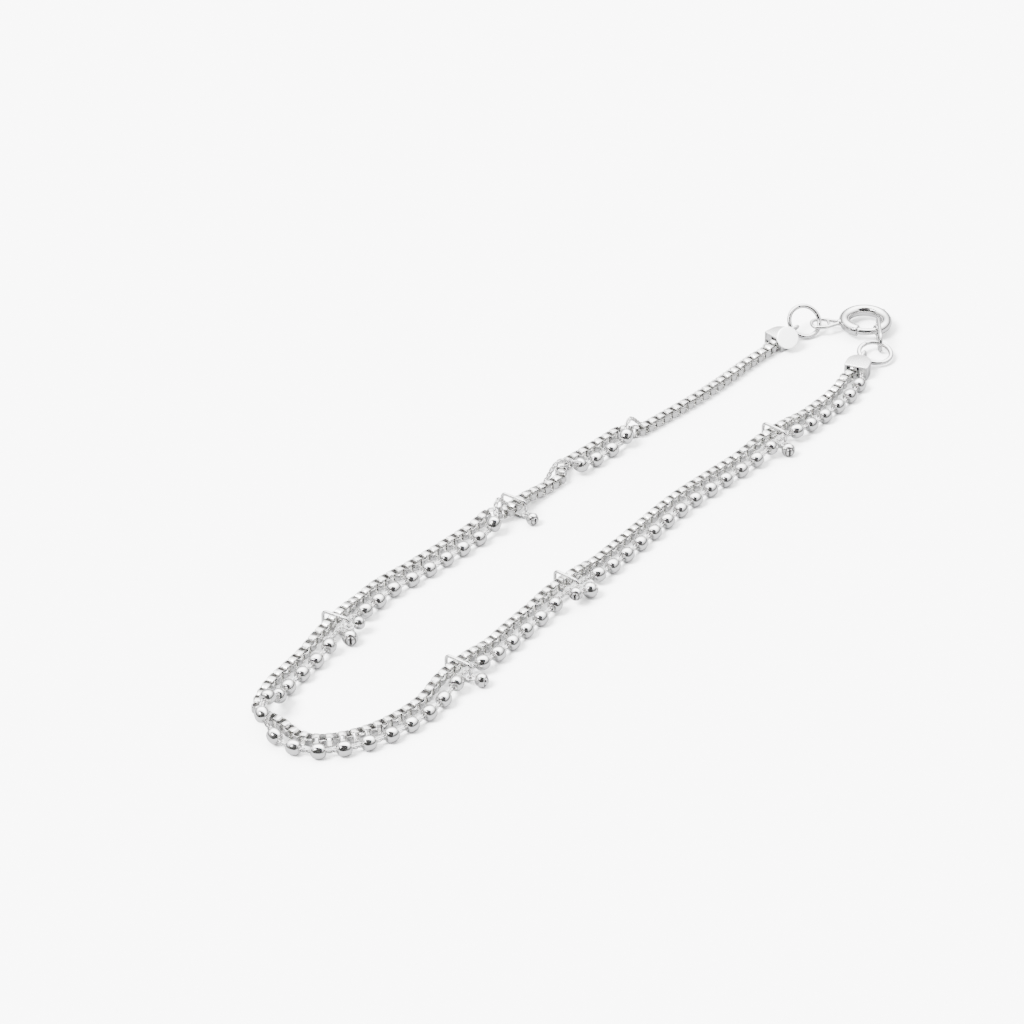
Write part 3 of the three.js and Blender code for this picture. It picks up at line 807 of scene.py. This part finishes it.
def cap_part(eye_height, eye_roll, bead_side_y):
    """A folded cap along X with a round far end, open at its mouth, with its eye beyond it."""
    radius = CAP_WIDTH / 2
    arc = np.radians(range(-90, 91, CAP_ARC_STEP))
    round_end = [(CAP_LENGTH - radius + radius * math.cos(a), radius * math.sin(a)) for a in arc]
    block = mesh_object("cap_block", *prism([(0, -radius), *round_end, (0, radius)], 0, CAP_HEIGHT))
    bevel = block.modifiers.new("edge", "BEVEL")
    bevel.width = CAP_BEVEL
    bevel.segments = 3
    bevel.limit_method = "ANGLE"
    inner = CAP_LENGTH - CAP_END_WALL
    half = CAP_WIDTH / 2 - CAP_WALL
    room = [(-CUT_OVERRUN, -half), (inner, -half), (inner, half), (-CUT_OVERRUN, half)]
    cutter = mesh_object("cap_cutter", *prism(room, -CUT_OVERRUN, CAP_HEIGHT - CAP_WALL))
    cut = block.modifiers.new("mouth", "BOOLEAN")
    cut.object = cutter
    cut.solver = "EXACT"
    body = applied(block)
    bpy.data.objects.remove(cutter)
    turn = math.radians(eye_roll - 90)
    eye = loop_sweep(circle(CAP_EYE / 2, sides=36), circle(CAP_EYE_WIRE / 2, sides=14))
    eye = placed(eye, (CAP_REACH, 0, eye_height), (1, 0, 0), (0, math.cos(turn), math.sin(turn)))
    across = np.linspace(-radius + LIP_INSET, radius - LIP_INSET, num=7)
    lip = tube([(LIP_RADIUS, y, CAP_HEIGHT - LIP_DROP) for y in across], LIP_RADIUS, sides=10)
    return joined([body, eye, lip, *cap_tabs(bead_side_y)])


def disc_part():
    radius, half = DISC_DIAMETER / 2, DISC_THICKNESS / 2
    turns = [(math.sin(a), math.cos(a)) for a in np.radians((90, 60, 30, 0))]
    edge = [(half - DISC_EDGE * (1 - c), radius - DISC_EDGE * (1 - s)) for s, c in turns]
    front = edge + [(half, radius / 2)]
    return lathe([(-x, r) for x, r in front[::-1]] + front, sides=64)


def cap_frame(distance, outwards):
    place, ahead, _ = route_frame(distance)
    along = ahead * outwards
    return place, along, np.cross(UP, along)


def from_frame(cap, point):
    place, along, across = cap
    return place + along * point[0] + across * point[1] + UP * point[2]


back_cap = cap_frame(0, -1)
front_cap = cap_frame(route.length, 1)


def build_caps():
    disc_normal = unit(DISC_LEAN)
    disc_at = np.array([DISC_FROM_MOUTH, -CAP_WIDTH / 2, CAP_HEIGHT]) + disc_normal * DISC_THICKNESS / 4
    disc = placed(disc_part(), disc_at, disc_normal, UP)
    back = cap_part(BACK_EYE_HEIGHT, BACK_EYE_ROLL, 1)
    front = cap_part(FRONT_EYE_HEIGHT, 0, -1)
    return [
        make_piece("back_cap", placed(back, *back_cap), plate_silver, "end_cap_disc"),
        make_piece("back_cap_disc", placed(disc, *back_cap), disc_silver, "end_cap_disc"),
        make_piece("front_cap", placed(front, *front_cap), plate_silver, "end_cap_flat"),
    ]


# Jump rings and the clasp's link


def ring_through(start, end, radius, lean):
    """Centre and directions of a ring through two points, its axis as near to the lean as they allow."""
    chord = end - start
    rise = unit(np.cross(lean, chord))
    height = math.sqrt(max(radius ** 2 - np.dot(chord, chord) / 4, 0))
    return (start + end) / 2 + rise * height, chord, rise


def cut_ring(cut_at, offset):
    """A jump ring cut once, its two ends a hair apart and a little out of line."""
    points = []
    for k in range(JUMP_STEPS + 1):
        share = k / JUMP_STEPS
        turn = heading(cut_at + JUMP_CUT + (360 - 2 * JUMP_CUT) * share)
        points.append(turn * JUMP_RADIUS + UP * lerp(-offset, offset, share))
    return tube(points, JUMP_WIRE / 2, sides=18)


def build_rings():
    back_hook = from_frame(back_cap, (CAP_REACH, 0, BACK_EYE_HEIGHT))
    eye_end = EYE_START + EYE_LENGTH - EYE_WIRE / 2
    eye_hook = CLASP_CENTRE + heading(EYE_DIRECTION) * (eye_end - JUMP_WIRE / 2 - EYE_HOOK_GAP)
    back = ring_through(back_hook, eye_hook, JUMP_RADIUS, BACK_RING_LEAN)
    ring = placed(cut_ring(cut_at=95, offset=0.05), *back)
    make_piece("back_ring_wire", ring, clasp_silver, "jump_ring_back")

    front_hook = from_frame(front_cap, (CAP_REACH, 0, FRONT_EYE_HEIGHT - FRONT_HOOK_DROP))
    link_way = heading(CLASP_FRONT)
    link_round = CLASP_TUBE / 2 + LINK_GAP + LINK_WIRE / 2
    straight = LINK_SPAN - 2 * link_round - LINK_WIRE
    tube_hook = CLASP_CENTRE + heading(CLASP_FRONT + LINK_AT) * CLASP_RADIUS
    link_centre = tube_hook + link_way * (straight / 2 - LINK_SLACK)
    ring_hook = link_centre + link_way * (straight / 2 + link_round - (LINK_WIRE + JUMP_WIRE) / 2 - HOOK_GAP)
    ring_hook[2] = CLASP_CENTRE[2] - HOOK_DROP
    front = ring_through(ring_hook, front_hook, JUMP_RADIUS, FRONT_RING_LEAN)
    ring = placed(cut_ring(cut_at=250, offset=0.04), *front)
    make_piece("front_ring_wire", ring, clasp_silver, "jump_ring_front")

    outline = rounded_outline(straight / 2 + link_round, link_round, link_round, steps=12)
    link = placed(loop_sweep(outline, circle(LINK_WIRE / 2, sides=16)), link_centre, link_way, UP)
    make_piece("clasp_link_wire", link, clasp_silver, "clasp_link")


# Clasp


def clasp_shell():
    """The clasp's thin tube, open at its gap and along the knob's slot, thickened by a modifier."""
    middle = (CLASP_TUBE - CLASP_WALL) / 2
    angles = range(GAP_HALF, 361 - GAP_HALF, CLASP_STEP)
    section = circle(middle, CLASP_SIDES, turn=0.5)
    points = np.array([heading(angle) * (CLASP_RADIUS + a) + UP * b for angle in angles for a, b in section])
    slot_half = KNOB_SIZE / 2 + SLOT_GAP
    slot_angle = math.degrees(slot_half / CLASP_RADIUS)
    kept = []
    for face in band_faces(len(angles), CLASP_SIDES):
        centre = points[list(face)].mean(axis=0)
        at = math.degrees(math.atan2(centre[1], centre[0])) % 360
        outer = math.hypot(centre[0], centre[1]) > CLASP_RADIUS
        in_slot = KNOB_AT - slot_angle < at < KNOB_AT + BOLT_TRAVEL + slot_angle
        if not (outer and in_slot and abs(centre[2]) < slot_half):
            kept.append(face)
    shell = mesh_object("clasp_shell", points, kept)
    wall = shell.modifiers.new("wall", "SOLIDIFY")
    wall.thickness = CLASP_WALL
    wall.offset = 0
    return applied(shell)


def clasp_eye():
    """The wire eye along X, with the bar across it and the solder that holds it to the tube."""
    half = (EYE_WIDTH - EYE_WIRE) / 2
    side = [(EYE_START + EYE_LENGTH * along, -half * width) for along, width in EYE_SHAPE]
    outline = side + [(EYE_START + EYE_LENGTH, 0)] + [(x, -y) for x, y in side[::-1]]
    eye = loop_sweep(closed_curve(outline, steps=8), circle(EYE_WIRE / 2, sides=14))
    bar_at = EYE_START + EYE_LENGTH * BAR_AT
    across = np.linspace(-half * BAR_REACH, half * BAR_REACH, num=5)
    bar = tube([(bar_at, y, 0) for y in across], EYE_WIRE / 2 * BAR_WIRE, sides=12)
    solder = placed(lathe(SOLDER, sides=20), (CLASP_RADIUS + CLASP_TUBE / 2, 0, 0), (1, 0, 0), (0, 1, 0))
    return joined([eye, bar, solder])


def bolt_part():
    """The tongue inside the tube, with its knob's stem straight out of it."""
    arc = np.arange(-GAP_HALF - BOLT_SEAT + BOLT_NOSE, BOLT_END + BOLT_STEP / 2, BOLT_STEP)
    bolt = tube([heading(a) * CLASP_RADIUS for a in arc], BOLT_DIAMETER / 2, sides=20)
    reach = np.linspace(0, CLASP_TUBE / 2 + KNOB_OUT - KNOB_SIZE / 2, num=6)
    knob = tube([heading(KNOB_AT) * (CLASP_RADIUS + d) for d in reach], KNOB_SIZE / 2, sides=14)
    return joined([bolt, knob])


def build_clasp():
    turn = EYE_DIRECTION - CLASP_FRONT
    eye = placed(clasp_eye(), (0, 0, 0), heading(turn), heading(turn + 90))
    place = (CLASP_CENTRE, heading(CLASP_FRONT), heading(CLASP_FRONT + 90))
    shell = placed(joined([clasp_shell(), eye]), *place)
    make_piece("clasp_tube", shell, clasp_silver, "spring_ring")
    make_piece("bolt_and_knob", placed(bolt_part(), *place), clasp_silver, "clasp_bolt", body="bolt")


# The whole anklet

SHARP_ANGLE = 40

build_box_chain()
build_bead_chain()
places = [station_place(at) for at, _ in STATIONS]
for number, place in enumerate(places, 1):
    build_station(number, place)
for number, row in enumerate(BELLS, 1):
    build_bell(number, row, places)
for piece in build_caps():
    piece.data.set_sharp_from_angle(angle=math.radians(SHARP_ANGLE))
build_rings()
build_clasp()

# Floor, card, sky, lamp and camera, in metres

FLOOR_SIZE = 8
FLOOR_GREY = 0.93
FLOOR_REFLECTED = (0.18, 0.18, 0.185, 1)
CARD_AWAY = 0.8
LAMP_ENERGY = 21.0
LAMP_ANGLE = 25
LAMP_TURN = 120
LAMP_LEAN = 0.8

# The sky: its strength, its grey at each height from the horizon to overhead, and how it grows to the back
SKY_STRENGTH = 6.3
SKY_STOPS = ((0.0, 0.02), (0.2, 0.03), (0.42, 0.22), (0.56, 0.5), (0.85, 1.0))
SKY_BACK = (-0.3, 0.6, 0.7, 1.7)


def stage_plane(name, size, location, rotation=(0, 0, 0)):
    bpy.ops.mesh.primitive_plane_add(size=1, location=location, rotation=rotation)
    plane = bpy.context.object
    plane.name = name
    plane.scale = (*size, 1)
    return plane


def matt_paper(name, grey):
    material = bpy.data.materials.new(name)
    material.use_nodes = True
    shader = material.node_tree.nodes["Principled BSDF"]
    shader.inputs["Base Color"].default_value = (grey, grey, grey, 1)
    shader.inputs["Roughness"].default_value = 0.9
    shader.inputs["Specular IOR Level"].default_value = 0.1
    return material


def floor_paper():
    """White paper that the metal reflects as a darker one."""
    paper = matt_paper("paper", FLOOR_GREY)
    nodes = paper.node_tree.nodes
    links = paper.node_tree.links
    seen = nodes.new("ShaderNodeLightPath")
    tone = nodes.new("ShaderNodeMix")
    tone.data_type = "RGBA"
    tone.inputs["A"].default_value = (FLOOR_GREY, FLOOR_GREY, FLOOR_GREY, 1)
    tone.inputs["B"].default_value = FLOOR_REFLECTED
    links.new(seen.outputs["Is Glossy Ray"], tone.inputs["Factor"])
    links.new(tone.outputs["Result"], nodes["Principled BSDF"].inputs["Base Color"])
    return paper


def reflected_card(name, material, turn, tilt, size):
    """A card that only shows in reflections, turned and tilted away from the camera's own direction."""
    up = math.radians(CAMERA_PITCH + tilt)
    towards = -heading(CAMERA_HEADING + turn) * math.cos(up) + UP * math.sin(up)
    facing = Vector(towards).to_track_quat("Z", "Y").to_euler()
    card = stage_plane(name, size, towards * CARD_AWAY, facing)
    card.data.materials.append(material)
    card.visible_shadow = False
    card.visible_diffuse = False
    card.visible_camera = False


def soft_sky():
    """Bright overhead and behind the anklet, dim towards the horizon, so that the metal has contrast."""
    sky = bpy.data.worlds.new("soft_box")
    sky.use_nodes = True
    nodes = sky.node_tree.nodes
    links = sky.node_tree.links
    where = nodes.new("ShaderNodeTexCoord")
    parts = nodes.new("ShaderNodeSeparateXYZ")
    links.new(where.outputs["Generated"], parts.inputs["Vector"])
    height = nodes.new("ShaderNodeValToRGB")
    while len(height.color_ramp.elements) < len(SKY_STOPS):
        height.color_ramp.elements.new(0.5)
    for element, (at, grey) in zip(height.color_ramp.elements, SKY_STOPS):
        element.position = at
        element.color = (grey, grey, grey, 1)
    links.new(parts.outputs["Z"], height.inputs["Fac"])
    back = nodes.new("ShaderNodeVectorMath")
    back.operation = "DOT_PRODUCT"
    back.inputs[1].default_value = heading(CAMERA_HEADING)
    links.new(where.outputs["Generated"], back.inputs[0])
    share = map_range(nodes, *SKY_BACK)
    links.new(back.outputs["Value"], share.inputs["Value"])
    light = nodes.new("ShaderNodeMath")
    light.operation = "MULTIPLY"
    links.new(height.outputs["Color"], light.inputs[0])
    links.new(share.outputs["Result"], light.inputs[1])
    links.new(light.outputs["Value"], nodes["Background"].inputs["Color"])
    nodes["Background"].inputs["Strength"].default_value = SKY_STRENGTH
    return sky


def soft_lamp():
    data = bpy.data.lights.new("key", "SUN")
    data.energy = LAMP_ENERGY
    data.angle = math.radians(LAMP_ANGLE)
    lamp = bpy.data.objects.new("key", data)
    shining = Vector(-heading(CAMERA_HEADING + LAMP_TURN)) * LAMP_LEAN - Vector(UP)
    lamp.rotation_euler = shining.to_track_quat("-Z", "Y").to_euler()
    bpy.context.collection.objects.link(lamp)


def photo_camera():
    data = bpy.data.cameras.new("camera")
    data.lens = CAMERA_LENS
    data.clip_start = CAMERA_NEAREST * MM
    camera = bpy.data.objects.new("camera", data)
    pitch = math.radians(CAMERA_PITCH)
    looking = Vector(heading(CAMERA_HEADING) * math.cos(pitch) - UP * math.sin(pitch))
    camera.location = (np.array([*CAMERA_FOOT, CAMERA_HEIGHT]) + SHIFT) * MM
    camera.rotation_euler = looking.to_track_quat("-Z", "Y").to_euler()
    bpy.context.collection.objects.link(camera)
    return camera


floor = stage_plane("floor", (FLOOR_SIZE, FLOOR_SIZE), (0, 0, 0))
floor.data.materials.append(floor_paper())
reflected_card("dark_card", matt_paper("dark_paper", 0.01), turn=-13, tilt=12, size=(1.7, 1.35))
bpy.context.scene.world = soft_sky()
soft_lamp()
bpy.context.scene.camera = photo_camera()
